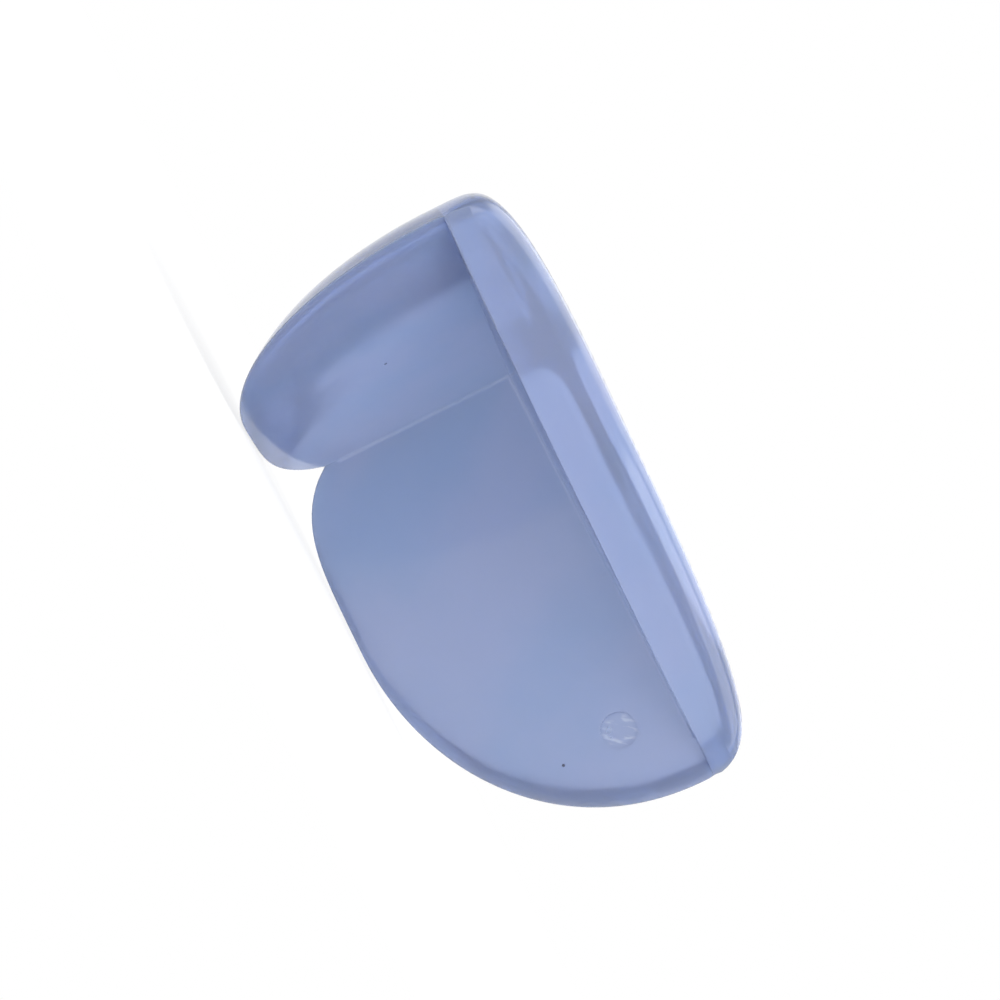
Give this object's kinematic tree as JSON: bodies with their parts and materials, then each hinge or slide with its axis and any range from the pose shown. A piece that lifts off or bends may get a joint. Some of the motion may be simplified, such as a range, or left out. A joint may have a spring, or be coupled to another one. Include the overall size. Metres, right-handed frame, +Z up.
{
  "type": "furniture corner protector",
  "caption": "Soft clear bumper for the corner of a table: two rounded walls and a curved top plate meet at right angles and dome outwards.",
  "frame": {"origin": "inner corner, where the three flat inner faces meet: the tip of the table's corner sits there", "axes": "+Z is up, out of the table's top; +X and +Y run along the table's two edges, away from the corner; the walls hang down along -Z"},
  "size_m": [0.0399, 0.0399, 0.0247],
  "materials": {
    "soft_plastic": "smooth, clear and faintly blue"
  },
  "bodies": {
    "root": {"corner_guard": "soft_plastic"}
  },
  "joints": []
}
